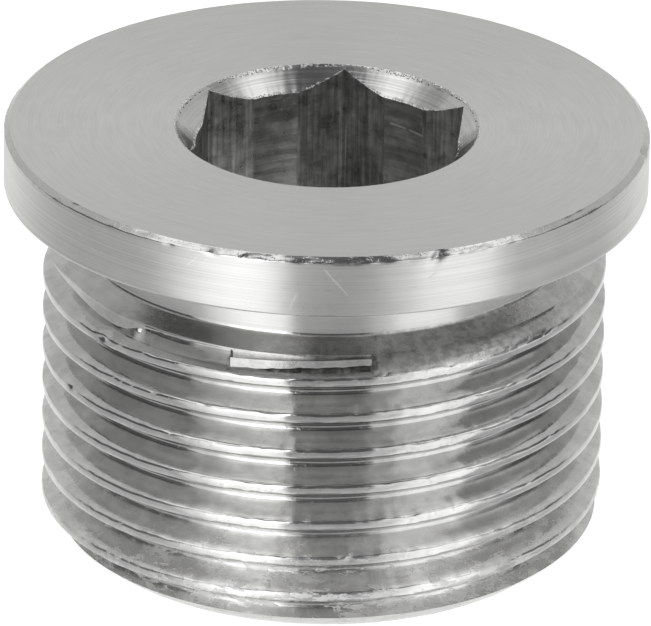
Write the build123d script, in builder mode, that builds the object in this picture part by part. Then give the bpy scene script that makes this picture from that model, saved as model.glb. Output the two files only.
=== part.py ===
"""Hex socket screw plug with collar, G 3/4 pipe thread, 12 mm hexagon socket.

One solid, turned, threaded and broached from bar. It stands on its threaded
end: the origin is the centre of that end face and +Z is the plug's axis.
Millimetres.
"""

import math
import os

from build123d import *

# Collar
collar_diameter = 30.0
collar_thickness = 2.9
collar_chamfer = 0.26

# Shank and its G 3/4 thread (14 turns to the inch, 55 degree flanks)
shank_length = 17.2
thread_diameter = 26.3
thread_pitch = 25.4 / 14
thread_depth = 1.162
thread_flank_angle = 27.5
thread_root_flat = 0.2
thread_start_angle = -83.5
thread_start_height = 1.23
end_face_diameter = 23.2
end_chamfer_height = 1.25

# Undercut between the collar and the thread
neck_diameter = 23.15
neck_length = 2.53
undercut_rise = 0.29

# Hexagon socket, its pilot bore and its countersink
socket_across_flats = 12.0
socket_depth = 8.0
pilot_diameter = 12.2
pilot_depth = 9.5
drill_point_angle = 118.0
countersink_diameter = 14.17
countersink_angle = 90.0

# Heights that follow from the sizes above
overall_length = shank_length + collar_thickness
neck_bottom = shank_length - neck_length
thread_top = neck_bottom - undercut_rise
pilot_floor = overall_length - pilot_depth

# Radii
collar_radius = collar_diameter / 2
thread_radius = thread_diameter / 2
root_radius = thread_radius - thread_depth
neck_radius = neck_diameter / 2
end_radius = end_face_diameter / 2
pilot_radius = pilot_diameter / 2
countersink_radius = countersink_diameter / 2

# The drill point below the pilot bore, and the countersink's cone drawn to its tip
drill_point_height = pilot_radius / math.tan(math.radians(drill_point_angle / 2))
countersink_height = countersink_radius / math.tan(math.radians(countersink_angle / 2))

# The thread cutter stands proud of the thread and overruns both of its ends
cutter_radius = thread_radius + thread_depth / 4
cutter_start = thread_start_height - 2 * thread_pitch
cutter_end = neck_bottom + neck_length / 2
root_half_width = thread_root_flat / 2
flank_slope = math.tan(math.radians(thread_flank_angle))
cutter_half_width = root_half_width + (cutter_radius - root_radius) * flank_slope

# The thread starts at this plane: x points outwards at the start angle
thread_plane = Plane.XY.offset(cutter_start).rotated((0, 0, thread_start_angle))
groove_plane = Plane(thread_plane.origin, x_dir=thread_plane.x_dir, z_dir=-thread_plane.y_dir)

with BuildPart() as plug:
    # Half section of the turned blank, closed along the axis
    with BuildSketch(Plane.XZ):
        with BuildLine():
            Polyline(
                (0, 0),
                (end_radius, 0),
                (thread_radius, end_chamfer_height),
                (thread_radius, thread_top),
                (neck_radius, neck_bottom),
                (neck_radius, shank_length),
                (collar_radius, shank_length),
                (collar_radius, overall_length - collar_chamfer),
                (collar_radius - collar_chamfer, overall_length),
                (0, overall_length),
                close=True,
            )
        make_face()
    revolve(axis=Axis.Z)

    # Right-hand thread: a V groove with a flat root, cut from the full diameter
    with BuildLine(thread_plane) as groove_path:
        Helix(thread_pitch, cutter_end - cutter_start, root_radius)
    with BuildSketch(groove_plane) as groove_section:
        with BuildLine():
            Polyline(
                (root_radius, -root_half_width),
                (cutter_radius, -cutter_half_width),
                (cutter_radius, cutter_half_width),
                (root_radius, root_half_width),
                close=True,
            )
        make_face()
    sweep(groove_section.sketch, path=groove_path.line, is_frenet=True, mode=Mode.SUBTRACT)

    # Pilot bore with its drill point, then the broached hexagon
    with BuildSketch(Plane.XZ):
        with BuildLine():
            Polyline(
                (0, pilot_floor - drill_point_height),
                (pilot_radius, pilot_floor),
                (pilot_radius, overall_length),
                (0, overall_length),
                close=True,
            )
        make_face()
    revolve(axis=Axis.Z, mode=Mode.SUBTRACT)
    with BuildSketch(Plane.XY.offset(overall_length)):
        RegularPolygon(socket_across_flats / 2, 6, major_radius=False, rotation=90)
    extrude(amount=-socket_depth, mode=Mode.SUBTRACT)

    # Countersink that leads the key into the hexagon
    with BuildSketch(Plane.XZ):
        with BuildLine():
            Polyline(
                (0, overall_length - countersink_height),
                (countersink_radius, overall_length),
                (0, overall_length),
                close=True,
            )
        make_face()
    revolve(axis=Axis.Z, mode=Mode.SUBTRACT)

plug.part.label = "plug"
os.makedirs("parts", exist_ok=True)
export_step(plug.part, "parts/plug.step")
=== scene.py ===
import math

import bpy
import numpy as np
from mathutils import Matrix, Vector


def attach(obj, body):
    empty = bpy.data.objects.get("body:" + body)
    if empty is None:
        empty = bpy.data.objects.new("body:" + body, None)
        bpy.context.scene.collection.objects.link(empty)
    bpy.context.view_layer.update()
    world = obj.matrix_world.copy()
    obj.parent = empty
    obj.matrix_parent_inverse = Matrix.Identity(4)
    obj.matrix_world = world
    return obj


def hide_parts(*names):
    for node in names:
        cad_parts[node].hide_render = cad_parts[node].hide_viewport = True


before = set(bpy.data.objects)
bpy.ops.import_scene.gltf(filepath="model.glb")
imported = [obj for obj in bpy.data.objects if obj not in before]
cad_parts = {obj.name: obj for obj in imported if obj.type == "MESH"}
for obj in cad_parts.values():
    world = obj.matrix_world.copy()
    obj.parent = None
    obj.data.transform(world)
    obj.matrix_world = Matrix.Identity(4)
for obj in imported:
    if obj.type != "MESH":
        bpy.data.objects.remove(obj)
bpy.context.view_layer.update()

# A hex socket screw plug. One mesh, plug_surface, stands for the CAD solid. Its section is worked out column
# by column round the axis, so that the thread's rows follow the helix. Seeded noise, chips and dents then
# roughen it. Lengths are in millimetres until the mesh is made.
MM = 0.001
TAU = 2 * math.pi

# ---------------------------------------------------------------- sizes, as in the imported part
COLLAR_R = 15.0
TOP_Z = 20.1
SEAT_Z = 17.2
CREST_R = 13.15
PITCH = 25.4 / 14
END_R = 11.6
END_CHAMFER = 1.25                        # height of the chamfer from the end face to the crests
NECK_R = 11.575
APOTHEM = 6.0                             # from the hexagon's middle to a flat
HEX_FLOOR = 12.1
PILOT_R = 6.1
PILOT_FLOOR = 10.6
DRILL_TIP = PILOT_FLOOR - PILOT_R / math.tan(math.radians(59))
SINK_R = 7.085

# the undercut's cone is steeper here than in the part, and has a fillet to the neck
NECK_Z = 14.69
THREAD_TOP = 13.97
CONE_TILT = math.atan2(NECK_Z - THREAD_TOP, CREST_R - NECK_R)
FILLET_R = 0.2
FILLET_STEPS = 4

COLUMNS = 480                             # round the axis; 30 degrees is a whole number of them
FRONT_DEG = -83.5                         # the camera's side, in the frame's XY plane
START_Z = 0.526                           # height of the first crest's upper edge there

# ---------------------------------------------------------------- camera
VIEW_AZ = math.radians(90 + FRONT_DEG)
VIEW_EL = 0.4161
CAM_DIST = 0.4971                         # metres, from the middle of the top face
FOCAL_PX = 10707.75
ROLL = 0.0183
TARGET_PX = (327.11, 124.93)              # where the middle of the top face lies in the picture
IMAGE = (651, 626)
SENSOR = 36.0


def cam_axes():
    """Camera position and its three axes, aimed so that the picture's centre needs no shift."""
    sa, ca, se, ce = math.sin(VIEW_AZ), math.cos(VIEW_AZ), math.sin(VIEW_EL), math.cos(VIEW_EL)
    right = Vector((ca, sa, 0))
    back = Vector((sa * ce, -ca * ce, se))
    up = Vector((-sa * se, ca * se, ce))
    x_axis = math.cos(ROLL) * right + math.sin(ROLL) * up
    y_axis = -math.sin(ROLL) * right + math.cos(ROLL) * up
    place = Vector((0, 0, TOP_Z * MM)) + CAM_DIST * back
    dx = (IMAGE[0] / 2 - TARGET_PX[0]) / FOCAL_PX
    dy = -(IMAGE[1] / 2 - TARGET_PX[1]) / FOCAL_PX
    aim = (-back + dx * x_axis + dy * y_axis).normalized()
    z_axis = -aim
    x_axis = (x_axis - x_axis.dot(z_axis) * z_axis).normalized()
    y_axis = z_axis.cross(x_axis)
    return place, x_axis, y_axis, z_axis


def make_camera():
    place, x_axis, y_axis, z_axis = cam_axes()
    data = bpy.data.cameras.new("camera")
    data.sensor_fit = "HORIZONTAL"
    data.sensor_width = SENSOR
    data.lens = FOCAL_PX * SENSOR / IMAGE[0]
    data.clip_start = 0.01
    data.clip_end = 50
    camera = bpy.data.objects.new("camera", data)
    turn = Matrix((x_axis, y_axis, z_axis)).transposed().to_4x4()
    camera.matrix_world = Matrix.Translation(place) @ turn
    bpy.context.scene.collection.objects.link(camera)
    bpy.context.scene.camera = camera


make_camera()


# ---------------------------------------------------------------- helpers
def lattice(u, v, nu, nv, seed):
    """Smooth random field in 0..1 on a grid that wraps in u (0..1); v in 0..1."""
    rng = np.random.default_rng(seed)
    grid = rng.random((nu, nv + 2))
    u = (np.asarray(u) % 1.0) * nu
    v = np.clip(np.asarray(v), 0, 1) * nv
    i, j = np.floor(u).astype(int), np.floor(v).astype(int)
    fu, fv = u - i, v - j
    fu, fv = fu * fu * (3 - 2 * fu), fv * fv * (3 - 2 * fv)
    i1 = (i + 1) % nu
    i = i % nu
    j1 = np.minimum(j + 1, nv + 1)
    return (grid[i, j] * (1 - fu) * (1 - fv) + grid[i1, j] * fu * (1 - fv)
            + grid[i, j1] * (1 - fu) * fv + grid[i1, j1] * fu * fv)


def smooth(t):
    t = min(max(t, 0.0), 1.0)
    return t * t * (3 - 2 * t)


def look_up(x, pairs):
    """Straight lines between (x, value) pairs, level beyond both ends."""
    return float(np.interp(x, *zip(*pairs)))


def from_front(degrees):
    """An angle in the XY plane as azimuth from the camera's side, -180..180, positive to the right."""
    return (degrees - FRONT_DEG + 180.0) % 360.0 - 180.0


# ---------------------------------------------------------------- the plug's section, column by column
# A column is a list of (label, z, radius) from the end face up and into the socket. Neighbouring columns are
# joined at equal labels. A whole number is a row of the thread, counted along the helix. A tuple is a place
# where the thread crosses the envelope. The strings start with f for the end face, e for the envelope's
# corners, g for the last groove, n for the neck's fillet, s for RING_ROWS, c for the countersink, w for the
# hexagon's walls and p for the pilot bore.

# One pitch of the thread, upwards from the middle of a crest: height from the crest's upper edge, and depth
THREAD = (
    (-0.2025, 0.000), (-0.120, 0.003), (-0.055, 0.012), (-0.010, 0.034), (0.040, 0.085), (0.285, 0.640),
    (0.365, 0.800), (0.434, 0.920), (0.504, 1.022), (0.5716, 1.0862), (0.6583, 1.1206), (0.7517, 1.1206),
    (0.8384, 1.0862), (0.906, 1.022), (0.976, 0.920), (1.045, 0.800), (1.125, 0.640), (1.370, 0.080),
    (1.425, 0.022), (1.510, 0.003),
)
ROWS = len(THREAD)
EDGE_ROWS = (3, 4)                        # the crest's upper edge
FLANK_ROWS = (5, 16)                      # first and last
LOW_EDGE_ROW = 17                         # the next crest's lower edge
SECTOR_STARTS = (1, 10, 18)               # the flank above a crest, the next one's lower flank, its crest
ENVELOPE = (
    ("e0", 0.0, END_R), ("e1", END_CHAMFER, CREST_R), ("e2", THREAD_TOP, CREST_R), ("e3", NECK_Z, NECK_R),
)
MERGE = 0.004                             # points of a column that are nearer than this become one

# The last groove, above crest 7. It ends in front: at LAND a step in it wasn't cut to depth, and from RUN_DEG
# on it has run out into a slope. The crest above it is only a thin lip, which is folded down on the left.
LAST_CREST = 7
LAND = (-19.9, 10.3)
RUN_DEG = 10.3
LAST_TURN = (-80.0, 60.0)                 # where the last groove has rows of its own
BACK_DEG = -150                           # from LAST_TURN's end on to here the groove is only a slope
LIP_UNDERSIDE = (                         # azimuth, height
    (-80.0, 14.08), (-68.6, 13.90), (-64.4, 13.83), (-59.8, 13.74), (-54.1, 13.59), (-48.6, 13.53),
    (-45.5, 13.62), (-43.0, 13.85), (-40.0, 14.03), (-36.0, 14.12), (-10.0, 14.12), (12.0, 14.12),
)
LIP_R = 12.68
LIP_SLOPE = 1.95                          # how steeply the lip's underside goes in
LAND_R = 12.80
LAND_FOOT = ((-19.5, 0.177), (-12.9, 0.248), (-4.6, 0.400), (10.1, 0.469))    # height above the crest's edge
LAND_TOP = ((-20.0, 13.77), (-4.7, 13.97), (10.5, 14.10))                     # height
GROOVE_STEPS = (0.285, 0.434, 0.5716, 0.6583, 0.7517, 0.8384, 0.976)          # rows of the open groove
PROFILE = [(s, CREST_R - d) for s, d in THREAD] + [(s + PITCH, CREST_R - d) for s, d in THREAD[:6]]


def neck_fillet():
    """Arc between the undercut's cone and the neck, as (radius, z)."""
    turn = math.pi / 2 - CONE_TILT
    run = FILLET_R * math.tan(turn / 2)
    cr, cz = NECK_R + FILLET_R, NECK_Z + run
    rows = []
    for k in range(FILLET_STEPS + 1):
        t = CONE_TILT + turn * k / FILLET_STEPS      # tilt of the surface here
        rows.append((cr - FILLET_R * math.sin(t), cz - FILLET_R * math.cos(t)))
    return rows


FILLET_ROWS = neck_fillet()
FILLET_FOOT_R, FILLET_FOOT_Z = FILLET_ROWS[0]


def envelope_r(z):
    return np.interp(z, [e[1] for e in ENVELOPE], [e[2] for e in ENVELOPE])


def last_crest_z(deg):
    """Height of the upper edge of the crest under the last groove."""
    return START_Z + LAST_CREST * PITCH + PITCH * deg / 360.0


def run_line(z, z0):
    """Radius of the slope from that crest to the neck where the groove has run out."""
    r0 = CREST_R - 0.06
    t = min(max((z - z0) / (FILLET_FOOT_Z - z0), 0.0), 1.0)
    hollow = 0.62 * t + 0.38 * t * t * (3 - 2 * t)
    return min(r0 + (FILLET_FOOT_R - r0) * hollow, float(envelope_r(z)))


def last_turn(deg):
    """Points of the last groove and its lip, from just above the crest to the cone."""
    cz = last_crest_z(deg)
    run = smooth((deg - RUN_DEG) / 1.2)

    def base(z):
        groove = min(look_up(z - cz, PROFILE), float(envelope_r(z)))
        return groove + (run_line(z, cz + 0.03) - groove) * run

    on_land = LAND[0] < deg < LAND[1]
    lip_r = LIP_R + 0.18 * smooth((-64 - deg) / 16)
    lip_top = NECK_Z - (lip_r - NECK_R) * math.tan(CONE_TILT)
    lip_z = min(look_up(deg, LIP_UNDERSIDE), lip_top - 0.05)
    if deg > RUN_DEG:
        heights = [cz + 0.17 + (lip_top - 0.06 - cz - 0.17) * k / 7 for k in range(8)]
    elif on_land:
        ragged = 0.016 * math.sin(math.radians(deg * 61)) + 0.012 * math.sin(math.radians(deg * 137 + 60))
        foot = cz + look_up(deg, LAND_FOOT) + ragged
        top = min(look_up(deg, LAND_TOP), lip_z - 0.03)
        heights = [cz + 0.5 * (foot - cz), foot - 0.02, foot, foot + 0.35 * (top - foot), top - 0.02,
                   top + 0.01, 0.5 * (top + lip_z), lip_z - 0.015]
    else:
        heights = [cz + s for s in GROOVE_STEPS] + [lip_z - 0.015]
    heights = [min(z, lip_z - 0.015 - 0.02 * (7 - k)) for k, z in enumerate(heights)]
    radii = [max(base(z), (lip_r - 0.05 - LIP_SLOPE * (lip_z - z)) * (1.0 - run)) for z in heights]
    if on_land:
        radii[2:5] = [LAND_R, LAND_R + 0.010, LAND_R]
        radii[5:8] = [LIP_R - max(0.02, min(0.20, 0.9 * (lip_z - heights[4] - 0.05)))] * 3
    rim = [(lip_z, lip_r), (lip_z + 0.45 * (lip_top - lip_z), lip_r + 0.008),
           (lip_top - 0.012, lip_r - 0.004), (lip_top + 0.010, lip_r - 0.025)]
    points = list(zip(heights, radii)) + [(z, r + (run_line(z, cz + 0.03) - r) * run) for z, r in rim]
    points.append((lip_top + 0.035, float(envelope_r(lip_top + 0.035))))
    return [(f"g{k:02d}", z, r) for k, (z, r) in enumerate(points)]


def finish_thread(points, i):
    """Puts the last groove's own rows in, and fades the groove out round the back."""
    deg = from_front(i / COLUMNS * 360.0)
    if LAST_TURN[0] <= deg <= LAST_TURN[1]:
        cz = last_crest_z(deg)
        below = [p for p in points if p[1] < cz + 0.06]
        fillet = [p for p in points if isinstance(p[0], str) and p[0][0] == "n"]
        return below + last_turn(deg) + fillet
    if BACK_DEG <= deg <= LAST_TURN[1]:
        return points
    z0 = last_crest_z(deg % 360.0) + 0.03
    if z0 > FILLET_FOOT_Z - 0.1:
        return points
    return [(lab, z, run_line(z, z0) if z0 < z < FILLET_FOOT_Z else r) for lab, z, r in points]


def crossings(raw):
    """Where the thread's line crosses a slope of the envelope."""
    found = []
    for (row, za, ra), (_, zb, rb) in zip(raw[:-1], raw[1:]):
        for (corner, ea, fa), (_, eb, fb) in zip(ENVELOPE[:-1], ENVELOPE[1:]):
            lo, hi = max(za, ea), min(zb, eb)
            if fa == fb or hi <= lo:
                continue
            slope_t, slope_e = (rb - ra) / (zb - za), (fb - fa) / (eb - ea)
            if abs(slope_t - slope_e) < 1e-9:
                continue
            z = (fa - ra + slope_t * za - slope_e * ea) / (slope_t - slope_e)
            if lo < z < hi:
                sector = sum(row % ROWS >= first for first in SECTOR_STARTS)
                found.append((("x", row // ROWS, sector, corner), z, fa + slope_e * (z - ea)))
    return found


def thread_column(i):
    """Points of the threaded shank at column i, from the end face's rim to the neck."""
    lift = START_Z + PITCH * ((i / COLUMNS * 360.0 - FRONT_DEG) / 360.0)
    raw = []
    for turn in range(-3, 10):
        for row, (s, d) in enumerate(THREAD):
            z = lift + PITCH * turn + s
            if -PITCH < z < NECK_Z + PITCH:
                raw.append((turn * ROWS + row, z, CREST_R - d))
    zs, rs = [p[1] for p in raw], [p[2] for p in raw]
    points = []
    for lab, z, r in ENVELOPE:
        thread_r = float(np.interp(z, zs, rs))
        if r <= thread_r or lab in ("e0", "e3"):
            points.append((lab, z, min(r, thread_r)))
    for lab, z, r in raw:
        if 0.0 < z < NECK_Z:
            limit = float(envelope_r(z))
            if r < limit - 1e-6 or (r <= limit and END_CHAMFER < z < THREAD_TOP):
                points.append((lab, z, r))
    points += crossings(raw)
    points = [p for p in points if p[1] < FILLET_FOOT_Z - MERGE]
    points += [(f"n{k}", z, r) for k, (r, z) in enumerate(FILLET_ROWS)]
    points.sort(key=lambda p: p[1])
    out = []
    for p in finish_thread(points, i):
        if not out or p[1] - out[-1][1] >= MERGE:
            out.append(p)
        elif isinstance(out[-1][0], int) or (isinstance(out[-1][0], tuple) and isinstance(p[0], str)):
            out[-1] = p
    return out


def socket_r(deg):
    """Radius of the broached hexagon and the pilot arcs at an angle."""
    phi = math.radians((deg + 30) % 60 - 30)
    return max(APOTHEM / math.cos(phi), PILOT_R)


# From the neck up, over the collar and into the countersink: zone, radius, height
RING_ROWS = [(zone, ring_r, ring_z) for zone, rows in (
    ("neck", ((NECK_R, 14.86), (NECK_R, 16.0), (NECK_R, 17.1))),
    ("seat", ((NECK_R + 0.03, SEAT_Z), (13.4, SEAT_Z), (COLLAR_R - 0.17, SEAT_Z),
              (COLLAR_R - 0.13, SEAT_Z))),
    ("side", ((COLLAR_R - 0.065, SEAT_Z + 0.02), (COLLAR_R - 0.02, SEAT_Z + 0.06), (COLLAR_R, SEAT_Z + 0.13),
              (COLLAR_R, SEAT_Z + 0.17), (COLLAR_R, 18.5), (COLLAR_R, 19.4), (COLLAR_R, 19.6),
              (COLLAR_R, 19.72), (COLLAR_R, 19.80), (COLLAR_R, 19.86))),
    ("bevel", ((COLLAR_R - 0.015, 19.89), (COLLAR_R - 0.04, 19.915), (COLLAR_R - 0.13, 19.985),
               (COLLAR_R - 0.21, 20.048), (COLLAR_R - 0.24, 20.075), (COLLAR_R - 0.27, TOP_Z))),
    ("top", ((COLLAR_R - 0.30, TOP_Z), (14.2, TOP_Z), (11.0, TOP_Z), (8.0, TOP_Z), (SINK_R + 0.09, TOP_Z),
             (SINK_R + 0.045, TOP_Z + 0.002))),
    ("rim", ((SINK_R + 0.015, TOP_Z + 0.010), (SINK_R - 0.010, TOP_Z - 0.008),
             (SINK_R - 0.045, TOP_Z - 0.045))),
) for ring_r, ring_z in rows]


def column(i):
    """All points of column i, from the end face to the drill point."""
    w = socket_r(i / COLUMNS * 360.0)
    sink_depth = SINK_R - w
    edge_z = TOP_Z - sink_depth
    points = [("f1", 0.0, 7.0)]
    points += thread_column(i)
    points += [(f"s{k}", z, r) for k, (zone, r, z) in enumerate(RING_ROWS)]
    points += [("c1", TOP_Z - 0.5 * sink_depth, 0.5 * (SINK_R + w)), ("c2", edge_z, w),
               ("w1", edge_z - 0.4, w), ("w2", 17.0, w), ("w3", 14.5, w), ("w4", HEX_FLOOR, w),
               ("w5", HEX_FLOOR - 0.001 * (w - PILOT_R), PILOT_R + 0.0001), ("p1", PILOT_FLOOR, PILOT_R),
               ("p2", PILOT_FLOOR - 0.45 * (PILOT_FLOOR - DRILL_TIP), 0.55 * PILOT_R)]
    return points


def past_seam(lab):
    """The label that column 0's point has for the last column: the helix has climbed one pitch by then."""
    if isinstance(lab, int):
        return lab - ROWS
    if isinstance(lab, tuple):
        return (lab[0], lab[1] - 1) + lab[2:]
    return lab


def strip(left, right, verts):
    """Faces between two neighbouring columns, each a list of (label, vertex)."""
    place = {lab: n for n, (lab, _) in enumerate(right)}
    rungs = []
    for n, (lab, _) in enumerate(left):
        if lab in place and (not rungs or place[lab] > rungs[-1][1]):
            rungs.append((n, place[lab]))
    made = []
    for (p, q), (p_end, q_end) in zip(rungs[:-1], rungs[1:]):
        if p_end == p + 1 and q_end == q + 1:
            made.append((left[p][1], right[q][1], right[q_end][1], left[p_end][1]))
            continue
        while p < p_end or q < q_end:
            z_left = verts[left[p + 1][1]][2] if p < p_end else math.inf
            z_right = verts[right[q + 1][1]][2] if q < q_end else math.inf
            if z_left <= z_right:
                made.append((left[p][1], right[q][1], left[p + 1][1]))
                p += 1
            else:
                made.append((left[p][1], right[q][1], right[q + 1][1]))
                q += 1
    return made


def build():
    """Vertices as (radius, angle, z), faces, and each vertex's label."""
    verts, columns, labels, made = [], [], [], []
    for i in range(COLUMNS):
        points = column(i)
        # at the back a flank crosses a slope twice in some columns: both points get the upper one's vertex
        vertex = {lab: len(verts) + n for n, (lab, _, _) in enumerate(points)}
        columns.append([(lab, vertex[lab]) for lab, _, _ in points])
        verts += [(r, i / COLUMNS * TAU, z) for _, z, r in points]
        labels += [lab for lab, _, _ in points]
    middle, tip = len(verts), len(verts) + 1
    verts += [(0.0, 0.0, 0.0), (0.0, 0.0, DRILL_TIP)]
    for i, left in enumerate(columns):
        right = columns[(i + 1) % COLUMNS]
        met = right if i < COLUMNS - 1 else [(past_seam(lab), n) for lab, n in right]
        made += strip(left, met, verts)
        made += [(middle, right[0][1], left[0][1]), (left[-1][1], right[-1][1], tip)]
    return np.array(verts), made, labels + ["f1", "p9"]


polar, faces, labels = build()
r, a, z = (polar[:, k].copy() for k in range(3))
deg = from_front(np.degrees(a))
u = a / TAU
v = z / 20                                # 0..1 over the plug's height, for the noise

# ---------------------------------------------------------------- what each vertex belongs to
ring_of = {f"s{k}": zone for k, (zone, _, _) in enumerate(RING_ROWS)}
row = np.array([lab % ROWS if isinstance(lab, int) else -1 for lab in labels])
ring_zone = np.array([ring_of.get(lab, "") if isinstance(lab, str) else "" for lab in labels])
on_last = np.array([isinstance(lab, str) and lab[0] == "g" for lab in labels])
on_hex_edge = np.array([lab == "c2" for lab in labels])
on_edge = np.isin(row, EDGE_ROWS)
on_flank = (row >= FLANK_ROWS[0]) & (row <= FLANK_ROWS[1])
on_collar_edge = ((ring_zone == "side") & (z > 18)) | (ring_zone == "bevel")

# ---------------------------------------------------------------- wear in the shape
# cut crests: their edges are slightly ragged, and the flanks are a little wavy
rag = lattice(u, v, 190, 12, 3) + 0.6 * lattice(u, v, 71, 9, 4) - 0.8
fine = lattice(u, v, 283, 40, 5) - 0.5
wave = lattice(u, v, 97, 60, 7) + 0.7 * lattice(u, v, 251, 90, 8) - 0.85
r += np.where(on_edge, 0.022 * rag + 0.020 * fine, 0)
z += np.where(on_edge & (z > 0.3) & (z < THREAD_TOP - 0.15), 0.030 * rag + 0.020 * fine, 0)
r += np.where(row == LOW_EDGE_ROW, 0.014 * rag, 0)
r += np.where((on_flank & (z > 0.05)) | on_last, 0.008 * wave, 0)

CHIPS = (                                 # azimuth, height, half width (degrees), half height, depth
    (-50.7, 12.84, 2.6, 0.30, 0.15), (-73.8, 11.26, 3.0, 0.35, 0.16), (5.4, 4.22, 1.6, 0.30, -0.08),
    (5.9, 4.10, 1.0, 0.2, 0.10), (42.1, 8.58, 1.4, 0.25, 0.10), (-62.0, 9.3, 1.8, 0.3, 0.10),
    (-31.0, 6.6, 1.3, 0.25, 0.08), (58.0, 11.9, 1.6, 0.3, 0.12),
)
CHIP_REACH = 0.4                          # below the crests nothing is knocked off
EDGE_Z = 19.88                            # where the collar's side meets its chamfer
DENTS = (                                 # azimuth, width (degrees), height, depth, slant
    (-19.7, 0.9, 0.10, 0.10, 0.0), (-13.8, 0.8, 0.09, 0.09, 0.5), (-3.9, 0.7, 0.07, 0.07, 0.0),
    (2.8, 0.8, 0.08, 0.09, 0.0), (5.3, 0.9, 0.08, 0.09, 0.0), (9.8, 0.9, 0.08, 0.07, 0.0),
    (20.2, 1.3, 0.22, 0.16, 0.9), (24.9, 0.8, 0.09, 0.08, 0.0), (26.4, 0.8, 0.09, 0.10, 0.4),
    (27.8, 0.7, 0.08, 0.09, 0.0), (29.3, 0.8, 0.10, 0.08, -0.4), (81.5, 1.6, 0.20, 0.22, 0.0),
)
SMALL_NICKS = 210


def chip(at_deg, at_z, wide_deg, tall, depth):
    """A facet knocked off a crest, or a burr pushed up where the depth is negative."""
    f = np.clip(1.0 - np.abs(deg - at_deg) / wide_deg, 0, 1) * np.clip(1.0 - np.abs(z - at_z) / tall, 0, 1)
    crest = ((row >= 0) | on_last) & (r > CREST_R - CHIP_REACH)
    r[:] = r - np.where(crest, depth * f, 0)


def dent(at_deg, at_z, wide_deg, tall, depth, slant):
    """A nick in the collar's upper edge."""
    dx = (deg - at_deg) / wide_deg
    dz = (z - at_z) / tall - slant * dx
    f = np.exp(-(dx * dx + dz * dz) * 1.4)
    r[:] = r - depth * np.where(on_collar_edge, f, 0)


for values in CHIPS:
    chip(*values)
for at, wide, tall, depth, slant in DENTS:
    dent(at, EDGE_Z + 0.02, wide, tall, depth, slant)
rng = np.random.default_rng(21)
for k in range(SMALL_NICKS):
    at = rng.uniform(-180, 180)
    dent(at, EDGE_Z + rng.uniform(-0.05, 0.16), rng.uniform(0.35, 0.7), rng.uniform(0.035, 0.07),
         rng.uniform(0.01, 0.045), rng.uniform(-0.5, 0.5))

# the chamfer's two edges, the countersink's raised rim and the hexagon's edge are ragged too
ragged = lattice(u, 0 * z, 230, 1, 31) + 0.5 * lattice(u, 0 * z, 83, 1, 32) - 0.75
z += np.where(on_collar_edge & (z > 19.84) & (z < 19.93), 0.026 * ragged, 0)
r -= np.where(on_collar_edge & (z > 20.06), 0.022 * (lattice(u, 0 * z, 211, 1, 33) - 0.4), 0)
rim_rag = lattice(u, 0 * z, 288, 1, 34) + 0.6 * lattice(u, 0 * z, 97, 1, 35) - 0.8
z += np.where(ring_zone == "rim", 0.012 * rim_rag, 0)
z += np.where(on_hex_edge, 0.030 * (lattice(u, 0 * z, 288, 1, 36) - 0.5), 0)

mesh = bpy.data.meshes.new("plug_surface")
mesh.from_pydata((np.stack([r * np.cos(a), r * np.sin(a), z], axis=1) * MM).tolist(), [], faces)
mesh.update()
for poly in mesh.polygons:
    poly.use_smooth = True
mesh.set_sharp_from_angle(angle=math.radians(34))
plug = bpy.data.objects.new("plug_surface", mesh)
bpy.context.scene.collection.objects.link(plug)

# ---------------------------------------------------------------- which finish each face has
FINISH_NAMES = ("turned_face", "thread_flanks", "neck_turned", "collar_side", "collar_chamfer",
                "countersink_turned", "hexagon_broached", "pilot_drilled")
ZONES = (                                 # from the end face up and into the socket: zone, its finish
    ("end", "turned_face"), ("thread", "thread_flanks"), ("neck", "neck_turned"), ("seat", "neck_turned"),
    ("side", "collar_side"), ("bevel", "collar_chamfer"), ("top", "turned_face"),
    ("rim", "countersink_turned"), ("hexagon", "hexagon_broached"), ("pilot", "pilot_drilled"),
)
ZONE_ORDER = {zone: k for k, (zone, _) in enumerate(ZONES)}
ARC_DEG = math.degrees(math.acos(APOTHEM / PILOT_R))     # half of a pilot arc in a flat


def zone_of(lab):
    """A label's zone."""
    if isinstance(lab, (int, tuple)) or lab[0] in "egn":
        return "thread"
    if lab in ring_of:
        return ring_of[lab]
    if lab == "w5":
        return "pilot"
    return {"f": "end", "c": "rim", "w": "hexagon", "p": "pilot"}[lab[0]]


zones = np.array([ZONE_ORDER[zone_of(lab)] for lab in labels])
on_thread = zones == ZONE_ORDER["thread"]


def slot_of(poly):
    """A face has the finish of the zone that comes last among its corners."""
    corners = list(poly.vertices)
    if max(z[v] for v in corners) < 0.01:
        return 0
    zone, finish = ZONES[max(zones[v] for v in corners)]
    if zone == "hexagon":
        angles = [a[v] for v in corners]
        mid = np.degrees(np.mean(angles)) if max(angles) - min(angles) < 3 else 359.7
        if abs((mid + 30) % 60 - 30) < ARC_DEG:
            finish = "pilot_drilled"
    return FINISH_NAMES.index(finish)


for poly in mesh.polygons:
    poly.material_index = slot_of(poly)


# ---------------------------------------------------------------- masks for the materials
def add_mask(name, values):
    mask = mesh.attributes.new(name, "FLOAT", "POINT")
    mask.data.foreach_set("value", values.astype(np.float32))


# depth below the crests, which darkens the roots as painted shade
add_mask("cavity", np.where(on_thread & (z < THREAD_TOP) & (z > 0.1), np.clip(CREST_R - r, 0, 2), 0.0))
# the socket's edges, for the burr bumps and the glints painted on them
add_mask("burr", np.where(on_hex_edge | (ring_zone == "rim"), 1.0, 0.0))
# a rough patch on the run-out, its colour painted bright as a painted highlight
patch = np.exp(-((deg - 34) / 9.5) ** 2 - ((z - 13.55 - 0.022 * (deg - 34)) / 0.30) ** 2)
add_mask("rough_patch_and_highlight", np.where(on_thread & (z > 12.8), patch, 0.0))
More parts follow.
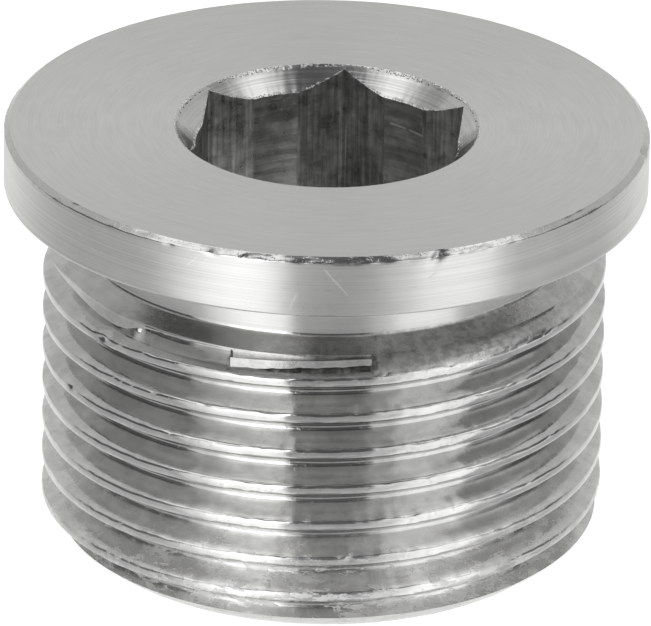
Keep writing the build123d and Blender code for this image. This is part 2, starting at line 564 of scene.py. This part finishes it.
# a rough, torn surface: the run-out, and a little on the land
fade = 1.0 - 0.6 * np.clip((deg - 40) / 20, 0, 1)
above = on_thread & (z > last_crest_z(deg) + 0.03)
torn = np.where(above & (deg > RUN_DEG) & (deg < 75), fade * np.clip((deg - RUN_DEG) / 1.5, 0, 1), 0.0)
add_mask("torn", np.where(on_last & (deg > LAND[0]) & (deg <= RUN_DEG), 0.35, torn))


# ---------------------------------------------------------------- materials
class Nodes:
    """Short names for building one node tree."""

    def __init__(self, owner):
        owner.use_nodes = True
        self.tree = owner.node_tree

    def new(self, kind, **inputs):
        node = self.tree.nodes.new(kind)
        for name, value in inputs.items():
            self.put(value, node.inputs[name])
        return node

    def put(self, value, socket):
        if isinstance(value, bpy.types.NodeSocket):
            self.tree.links.new(value, socket)
        else:
            socket.default_value = value

    def calc(self, op, *args):
        node = self.tree.nodes.new("ShaderNodeMath")
        node.operation = op
        for k, value in enumerate(args):
            self.put(value, node.inputs[k])
        return node.outputs[0]

    def add(self, x, y):
        return self.calc("ADD", x, y)

    def sub(self, x, y):
        return self.calc("SUBTRACT", x, y)

    def mul(self, x, y):
        return self.calc("MULTIPLY", x, y)

    def mix(self, f, x, y):
        return self.add(self.mul(self.sub(1.0, f), x), self.mul(f, y))

    def dot(self, first, second):
        """Sum of the products of two triples."""
        parts = [self.mul(x, y) for x, y in zip(first, second)]
        return self.add(self.add(parts[0], parts[1]), parts[2])

    def ramp(self, value, lo, hi, to_lo=0.0, to_hi=1.0):
        node = self.tree.nodes.new("ShaderNodeMapRange")
        node.interpolation_type = "SMOOTHSTEP"
        names = ("Value", "From Min", "From Max", "To Min", "To Max")
        for name, item in zip(names, (value, lo, hi, to_lo, to_hi)):
            self.put(item, node.inputs[name])
        return node.outputs["Result"]

    def between(self, value, a, b, c, d):
        """1 from b to c, falling to 0 at a and d."""
        return self.mul(self.ramp(value, a, b), self.ramp(value, c, d, 1, 0))

    def vector(self, x, y, z):
        node = self.tree.nodes.new("ShaderNodeCombineXYZ")
        for k, value in enumerate((x, y, z)):
            self.put(value, node.inputs[k])
        return node.outputs[0]

    def noise(self, vector, detail=2.0, rough=0.5, scale=1.0):
        return self.new("ShaderNodeTexNoise", Vector=vector, Scale=scale, Detail=detail,
                        Roughness=rough).outputs["Fac"]

    def bump(self, height, microns, normal=None):
        node = self.new("ShaderNodeBump", Height=height, Strength=1.0, Distance=microns * 1e-6)
        if normal is not None:
            self.put(normal, node.inputs["Normal"])
        return node.outputs["Normal"]

    def attribute(self, name):
        node = self.tree.nodes.new("ShaderNodeAttribute")
        node.attribute_name = name
        return node.outputs["Fac"]


def place_of(n):
    """Object coordinates in millimetres, and the distance from the axis."""
    tc = n.new("ShaderNodeTexCoord")
    sep = n.new("ShaderNodeSeparateXYZ", Vector=tc.outputs["Object"])
    x, y, z = (n.mul(sep.outputs[k], 1000.0) for k in range(3))
    return x, y, z, n.calc("SQRT", n.add(n.mul(x, x), n.mul(y, y)))


def lines(n, where, way, across, along):
    """Coordinates stretched along the tool marks. The way is ring (on a flat face), lathe or axial."""
    x, y, z, rad = where
    if way == "ring":
        ux, uy = n.calc("DIVIDE", x, rad), n.calc("DIVIDE", y, rad)
        return n.vector(n.mul(ux, along * 8), n.mul(uy, along * 8), n.mul(rad, across))
    if way == "lathe":
        return n.vector(n.mul(x, along), n.mul(y, along), n.mul(z, across))
    return n.vector(n.mul(x, across), n.mul(y, across), n.mul(z, along))


def put_surface(n, shade, rough, metallic, normal):
    """Sets the shader: a grey of this shade, very slightly warm."""
    bsdf = n.tree.nodes["Principled BSDF"]
    n.put(n.vector(shade, shade, n.mul(shade, 0.985)), bsdf.inputs["Base Color"])
    n.put(rough, bsdf.inputs["Roughness"])
    n.put(metallic, bsdf.inputs["Metallic"])
    n.put(normal, bsdf.inputs["Normal"])
    return bsdf


def put_tangent(n, bsdf, aniso):
    bsdf.inputs["Anisotropic"].default_value = aniso
    bsdf.inputs["Anisotropic Rotation"].default_value = 0.25
    tangent = n.new("ShaderNodeTangent")
    tangent.direction_type = "RADIAL"
    tangent.axis = "Z"
    n.put(tangent.outputs[0], bsdf.inputs["Tangent"])


def scratch(n, where, start, end, width):
    """1 along a straight scratch between two points, 0 away from it."""
    d = Vector(end) - Vector(start)
    length = d.length
    d.normalize()
    rel = [n.sub(p, c) for p, c in zip(where[:3], start)]
    along = n.dot(rel, d)
    off = n.calc("SQRT", n.calc("MAXIMUM", n.sub(n.dot(rel, rel), n.mul(along, along)), 0.0))
    ends = n.mul(n.ramp(along, 0.0, 0.15 * length), n.ramp(along, 0.8 * length, length, 1.0, 0.0))
    return n.mul(n.ramp(off, 0.2 * width, 0.6 * width, 1.0, 0.0), ends)


def plating(name, base, rough, way, across, along, tone, microns, mottle=0.05, mottle_scale=0.8,
            aniso=0.0, pits=0.0, pit_scale=6.0, marks=(), burrs_and_glints=0.0):
    """Bright plating over a tool-marked surface.

    The tool's lines run the way that lines() says, with this contrast (tone) and depth (microns). Mottle is
    the contrast of the cloudy spots, pits a depth in microns, and burrs_and_glints how far the
    crumbs_and_glints reach from the edges in the mesh's burr mask: bumps whose colour is painted near white
    as painted glints.
    """
    mat = bpy.data.materials.new(name)
    n = Nodes(mat)
    where = place_of(n)
    point = n.vector(*where[:3])
    fine = n.noise(lines(n, where, way, across, along), 2.0, 0.55)
    wide = n.noise(lines(n, where, way, across * 0.25, along * 0.6), 2.0, 0.5)
    spots = n.noise(point, 4.0, 0.6, mottle_scale)
    shade = n.ramp(fine, 0.30, 0.70, base * (1.0 - tone), base * (1.0 + 0.6 * tone))
    shade = n.mul(shade, n.ramp(wide, 0.30, 0.70, 1.0 - 0.3 * tone, 1.0 + 0.25 * tone))
    shade = n.mul(shade, n.ramp(spots, 0.30, 0.72, 1.0 - mottle, 1.0 + 0.3 * mottle))
    rough_now = n.ramp(spots, 0.25, 0.75, rough * 0.88, rough * 1.12)
    for start, end, width, gain, more in marks:
        line = scratch(n, where, start, end, width)
        shade = n.mul(shade, n.ramp(line, 0.0, 1.0, 1.0, gain))
        rough_now = n.add(rough_now, n.mul(line, more))
    normal = n.bump(fine, microns)
    if burrs_and_glints:
        near_edge = n.ramp(n.attribute("burr"), 1.0 - burrs_and_glints, 1.0)
        # burr bumps near the edges, whose colour is painted near white as painted glints
        crumbs_and_glints = n.mul(n.ramp(n.noise(point, 3.0, 0.6, 5.5), 0.50, 0.58), near_edge)
        shade = n.mix(crumbs_and_glints, shade, 0.96)
        rough_now = n.add(rough_now, n.mul(crumbs_and_glints, 0.25))
        normal = n.bump(crumbs_and_glints, 60.0, normal)
    if pits:
        speck = n.ramp(n.noise(point, 2.0, 0.6, pit_scale), 0.54, 0.70)
        normal = n.bump(speck, pits, normal)
    bsdf = put_surface(n, shade, rough_now, 1.0, normal)
    if aniso:
        put_tangent(n, bsdf, aniso)
    return mat


def thread_finish(name):
    """Cut flanks under bright plating: cloudy, with painted shade in the roots and painted light on the lower
    turns, duller and with residue low down.
    """
    mat = bpy.data.materials.new(name)
    n = Nodes(mat)
    where = place_of(n)
    point, z = n.vector(*where[:3]), where[2]
    torn = n.attribute("torn")
    streak = n.noise(lines(n, where, "lathe", 6.0, 0.6), 3.0, 0.6)
    cloud = n.noise(point, 3.0, 0.55, 0.7)
    spots = n.noise(point, 4.0, 0.65, 2.4)
    grit = n.noise(point, 3.0, 0.7, 7.0)
    shade = n.ramp(streak, 0.30, 0.70, 0.575, 0.62)
    shade = n.mul(shade, n.ramp(cloud, 0.32, 0.68, 0.88, 1.03))
    shade = n.mul(shade, n.ramp(spots, 0.55, 0.72, 1.0, 0.88))
    # painted shade: the deeper a point lies below the crests, the darker its colour
    shade = n.mul(shade, n.ramp(n.attribute("cavity"), 0.10, 0.35, 1.0, 0.92))
    # painted light: the lower turns get a lighter colour than the upper ones
    shade = n.mul(shade, n.ramp(z, 4.0, 10.0, 1.18, 1.02))
    shade = n.mix(torn, shade, n.mul(shade, n.ramp(spots, 0.40, 0.62, 0.72, 1.05)))
    # a fuzzy rough patch where the groove runs out, with a painted highlight: its colour is made bright
    hair = n.noise(lines(n, where, "lathe", 7.0, 2.2), 4.0, 0.75)
    rough_patch_and_highlight = n.mul(n.attribute("rough_patch_and_highlight"), n.ramp(hair, 0.42, 0.60))
    shade = n.mix(rough_patch_and_highlight, shade, 0.86)
    # residue: thin pale streaks, mostly on the lowest turns
    low = n.mul(n.ramp(z, 1.0, 6.5, 1.0, 0.0), n.ramp(z, 0.05, 0.35))
    residue = n.noise(lines(n, where, "lathe", 2.6, 0.7), 5.0, 0.72)
    residue = n.mul(n.ramp(n.add(residue, n.mul(low, 0.06)), 0.55, 0.66), low)
    shade = n.mix(n.mul(residue, 0.6), shade, 0.72)
    rough = n.ramp(spots, 0.35, 0.75, 0.07, 0.16)
    rough = n.add(rough, n.ramp(z, 3.5, 9.0, 0.11, 0.0))
    rough = n.add(rough, n.mul(torn, 0.22))
    rough = n.add(rough, n.mul(rough_patch_and_highlight, 0.35))
    rough = n.add(rough, n.mul(residue, 0.25))
    normal = n.bump(streak, 2.5)
    normal = n.bump(n.ramp(grit, 0.58, 0.74), 2.0, normal)
    normal = n.bump(n.mul(grit, n.add(residue, n.mul(torn, 0.6))), 24.0, normal)
    put_surface(n, shade, rough, n.sub(1.0, n.mul(residue, 0.35)), normal)
    return mat


def on_side(deg, z, radius=COLLAR_R):
    """A point of a surface of revolution, by azimuth from the camera's side."""
    t = math.radians(FRONT_DEG + deg)
    return (radius * math.cos(t), radius * math.sin(t), z)


SIDE_MARKS = (                            # start, end, width, brightness, extra roughness
    (on_side(-0.4, 19.7), on_side(4.6, 18.15), 0.11, 1.10, 0.12),
    (on_side(-4.6, 18.4), on_side(-6.2, 17.4), 0.12, 1.06, 0.10),
    (on_side(-22.5, 19.6), on_side(-24.8, 19.0), 0.12, 1.10, 0.10),
    (on_side(-20.6, 19.6), on_side(-22.0, 19.2), 0.08, 1.10, 0.10),
    (on_side(18.3, 18.9), on_side(19.8, 19.15), 0.10, 0.90, 0.10),
    (on_side(0.5, 19.2), on_side(8.0, 19.22), 0.05, 0.90, 0.0),
    (on_side(-8.0, 18.57), on_side(0.0, 18.56), 0.08, 0.86, 0.0),
    (on_side(-0.5, 18.56), on_side(8.5, 18.54), 0.08, 0.86, 0.0),
    (on_side(8.0, 18.54), on_side(17.0, 18.52), 0.08, 0.86, 0.0),
    (on_side(-49.0, 18.9), on_side(-43.0, 18.2), 0.09, 1.10, 0.10),
    (on_side(66.0, 18.2), on_side(71.0, 19.0), 0.09, 0.90, 0.10),
)
HEX_MARKS = (
    (on_side(151.6, 17.89, 6.1), on_side(141.7, 17.83, 6.1), 0.12, 1.9, 0.1),
    (on_side(141.7, 17.83, 6.1), on_side(131.8, 17.78, 6.12), 0.12, 1.9, 0.1),
    (on_side(174.7, 18.6, 6.85), on_side(174.7, 12.5, 6.85), 0.20, 1.9, 0.10),
    (on_side(172.4, 17.6, 6.87), on_side(172.6, 12.5, 6.87), 0.10, 1.6, 0.05),
)
FINISHES = {                              # all but the thread's
    "turned_face": dict(base=0.615, rough=0.30, way="ring", across=14.0, along=0.8, tone=0.045, microns=1.6,
                        mottle=0.04, mottle_scale=0.6, aniso=0.8),
    "neck_turned": dict(base=0.60, rough=0.24, way="lathe", across=9.0, along=0.10, tone=0.04, microns=1.5,
                        aniso=0.4),
    "collar_side": dict(base=0.62, rough=0.30, way="lathe", across=17.0, along=0.06, tone=0.09, microns=3.0,
                        mottle=0.04, mottle_scale=0.5, aniso=0.5, marks=SIDE_MARKS),
    "collar_chamfer": dict(base=0.60, rough=0.15, way="lathe", across=9.0, along=0.3, tone=0.03, microns=1.5,
                           pits=4.0, pit_scale=6.5),
    "countersink_turned": dict(base=0.62, rough=0.17, way="lathe", across=11.0, along=0.10, tone=0.13,
                               microns=7.0, burrs_and_glints=0.24),
    "hexagon_broached": dict(base=0.70, rough=0.30, way="axial", across=5.0, along=0.22, tone=0.34,
                             microns=7.0, mottle=0.40, mottle_scale=1.6, pits=5.0, pit_scale=5.0,
                             marks=HEX_MARKS, burrs_and_glints=0.16),
    "pilot_drilled": dict(base=0.72, rough=0.30, way="lathe", across=3.6, along=0.30, tone=0.30, microns=9.0,
                          mottle=0.30, mottle_scale=1.2, pits=5.0, marks=HEX_MARKS, burrs_and_glints=0.16),
}
for name in FINISH_NAMES:
    plug.data.materials.append(plating(name, **FINISHES[name]) if name in FINISHES else thread_finish(name))
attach(plug, "root")
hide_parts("plug")

# ---------------------------------------------------------------- floor
FLOOR_HALF = 2.0                          # metres
FLOOR_GREY = 0.8
FLOOR_GLOW = 0.62                         # brings the floor to white around the plug, and leaves its shadow


def floor_material():
    """A floor for the camera only: reflections, shadow rays and views from below pass through it."""
    mat = bpy.data.materials.new("floor_white")
    n = Nodes(mat)
    n.tree.nodes.clear()
    path = n.new("ShaderNodeLightPath")
    geometry = n.new("ShaderNodeNewGeometry")
    grey = n.new("ShaderNodeBsdfDiffuse", Color=(FLOOR_GREY, FLOOR_GREY, FLOOR_GREY, 1))
    glow = n.new("ShaderNodeEmission", Strength=FLOOR_GLOW)
    surface = n.new("ShaderNodeAddShader")
    n.put(grey.outputs[0], surface.inputs[0])
    n.put(glow.outputs[0], surface.inputs[1])
    hidden = n.calc("MAXIMUM", path.outputs["Is Glossy Ray"], path.outputs["Is Shadow Ray"])
    hidden = n.calc("MAXIMUM", hidden, path.outputs["Is Transmission Ray"])
    hidden = n.calc("MAXIMUM", hidden, geometry.outputs["Backfacing"])
    blend = n.new("ShaderNodeMixShader")
    n.put(hidden, blend.inputs[0])
    n.put(surface.outputs[0], blend.inputs[1])
    n.put(n.new("ShaderNodeBsdfTransparent").outputs[0], blend.inputs[2])
    n.new("ShaderNodeOutputMaterial", Surface=blend.outputs[0])
    return mat


def make_floor():
    s = FLOOR_HALF
    floor_mesh = bpy.data.meshes.new("floor")
    floor_mesh.from_pydata([(-s, -s, 0), (s, -s, 0), (s, s, 0), (-s, s, 0)], [], [(0, 1, 2, 3)])
    floor = bpy.data.objects.new("floor", floor_mesh)
    floor.data.materials.append(floor_material())
    bpy.context.scene.collection.objects.link(floor)


make_floor()

# ---------------------------------------------------------------- light
# The world is a map of brightness by direction. Azimuth counts from the camera's side, positive to the right,
# and elevation from the horizon, both in degrees.
LEFT_PANEL = (-62, -57, -16, -13)         # azimuths, as between() takes them
RIGHT_PANEL = (19, 22, 63, 68)
PANEL_EDGE = 0.95                         # both panels are this bright on the left
LEFT_LEVEL = 2.3                          # the left one's brightest part
RIGHT_LEVEL = 1.40                        # the right one's
TOP_PANEL = 1.5                           # the panels overhead
ROOM = 0.76                               # behind the plug
ROOM_SIDE = 0.64
GAP = 0.12                                # over the camera and beside the panels
CEILING = 0.36


def make_world():
    """A soft panel left and right of the camera, a dark gap between them, a pale room and a pale table."""
    world = bpy.data.worlds.new("studio")
    bpy.context.scene.world = world
    n = Nodes(world)
    n.tree.nodes.clear()
    turn = n.new("ShaderNodeVectorRotate")
    turn.rotation_type = "Z_AXIS"
    n.put(-VIEW_AZ, turn.inputs["Angle"])                  # then -Y is the side that the camera stands on
    n.put(n.new("ShaderNodeTexCoord").outputs["Generated"], turn.inputs["Vector"])
    sep = n.new("ShaderNodeSeparateXYZ", Vector=turn.outputs[0])
    x, z = sep.outputs["X"], sep.outputs["Z"]
    front = n.mul(sep.outputs["Y"], -1.0)
    az = n.mul(n.calc("ARCTAN2", x, front), 180 / math.pi)
    el = n.mul(n.calc("ARCSINE", z), 180 / math.pi)
    side = n.calc("ABSOLUTE", az)
    left, right = n.between(az, *LEFT_PANEL), n.between(az, *RIGHT_PANEL)

    # the panels, which reach further round overhead, with a fainter one on the far right
    panel = n.add(n.mul(left, n.ramp(az, -54, -32, PANEL_EDGE, LEFT_LEVEL)),
                  n.mul(right, n.ramp(az, 29, 37, PANEL_EDGE, RIGHT_LEVEL)))
    panel = n.calc("MAXIMUM", panel, n.mul(n.between(az, 55, 62, 78, 100), 0.40))
    overhead = n.add(n.between(az, -112, -86, -78, -28), n.between(az, 33, 86, 92, 114))
    panel = n.mix(n.ramp(el, 32, 56), panel, n.mul(overhead, TOP_PANEL))
    spot = n.mul(n.ramp(z, 0.915, 0.940), n.between(az, -86, -78, -36, -20))      # lights the chamfer's left
    panel = n.calc("MAXIMUM", panel, n.mul(spot, 1.5))
    # the room above the horizon
    dark = n.mix(n.ramp(el, 26, 50), n.between(side, -2, -1, 106, 118),
                 n.mul(n.between(az, -60, -30, 34, 70), n.ramp(front, 0.05, 0.2)))
    upper = n.mix(dark, n.ramp(side, 140, 168, ROOM_SIDE, ROOM), GAP)
    ceiling = n.mul(n.ramp(z, 0.80, 0.93), n.ramp(front, -0.32, -0.12, 1, 0))
    upper = n.mix(ceiling, upper, CEILING)
    # the table below it: darker near the plug and towards the camera, bright behind and on the right
    table = n.mix(n.ramp(el, -40, -20), n.ramp(el, -56, -42, 0.32, 0.56), 0.44)
    table = n.mix(n.ramp(side, 48, 66), table, n.ramp(el, -40, -24, 0.66, 0.54))
    table = n.mix(n.between(az, 58, 68, 98, 108), table, n.ramp(el, -24, -14, 0.54, 1.0))
    table = n.mix(n.ramp(side, 100, 150), table, 0.96)
    table = n.mul(table, n.ramp(el, -88, -58, 0.35, 1.0))
    # the panels' glow on the table
    glow = n.add(n.mul(left, n.ramp(az, -58, -36, 0.88, 1.50)), n.mul(right, n.ramp(az, 29, 37, 0.75, 1.38)))
    glow = n.mul(n.ramp(el, -80, -45, 0.60, 1.0), glow)
    around = n.mix(n.ramp(el, -13, -4), table, upper)
    light = n.calc("MAXIMUM", around, n.mix(n.ramp(el, -26, -8), glow, panel))

    lit = n.new("ShaderNodeBackground", Color=light)
    white = n.new("ShaderNodeBackground", Color=(1, 1, 1, 1))
    blend = n.new("ShaderNodeMixShader")
    n.put(n.new("ShaderNodeLightPath").outputs["Is Camera Ray"], blend.inputs[0])
    n.put(lit.outputs[0], blend.inputs[1])
    n.put(white.outputs[0], blend.inputs[2])
    n.new("ShaderNodeOutputWorld", Surface=blend.outputs[0])


make_world()
bpy.context.scene.view_settings.view_transform = "Standard"
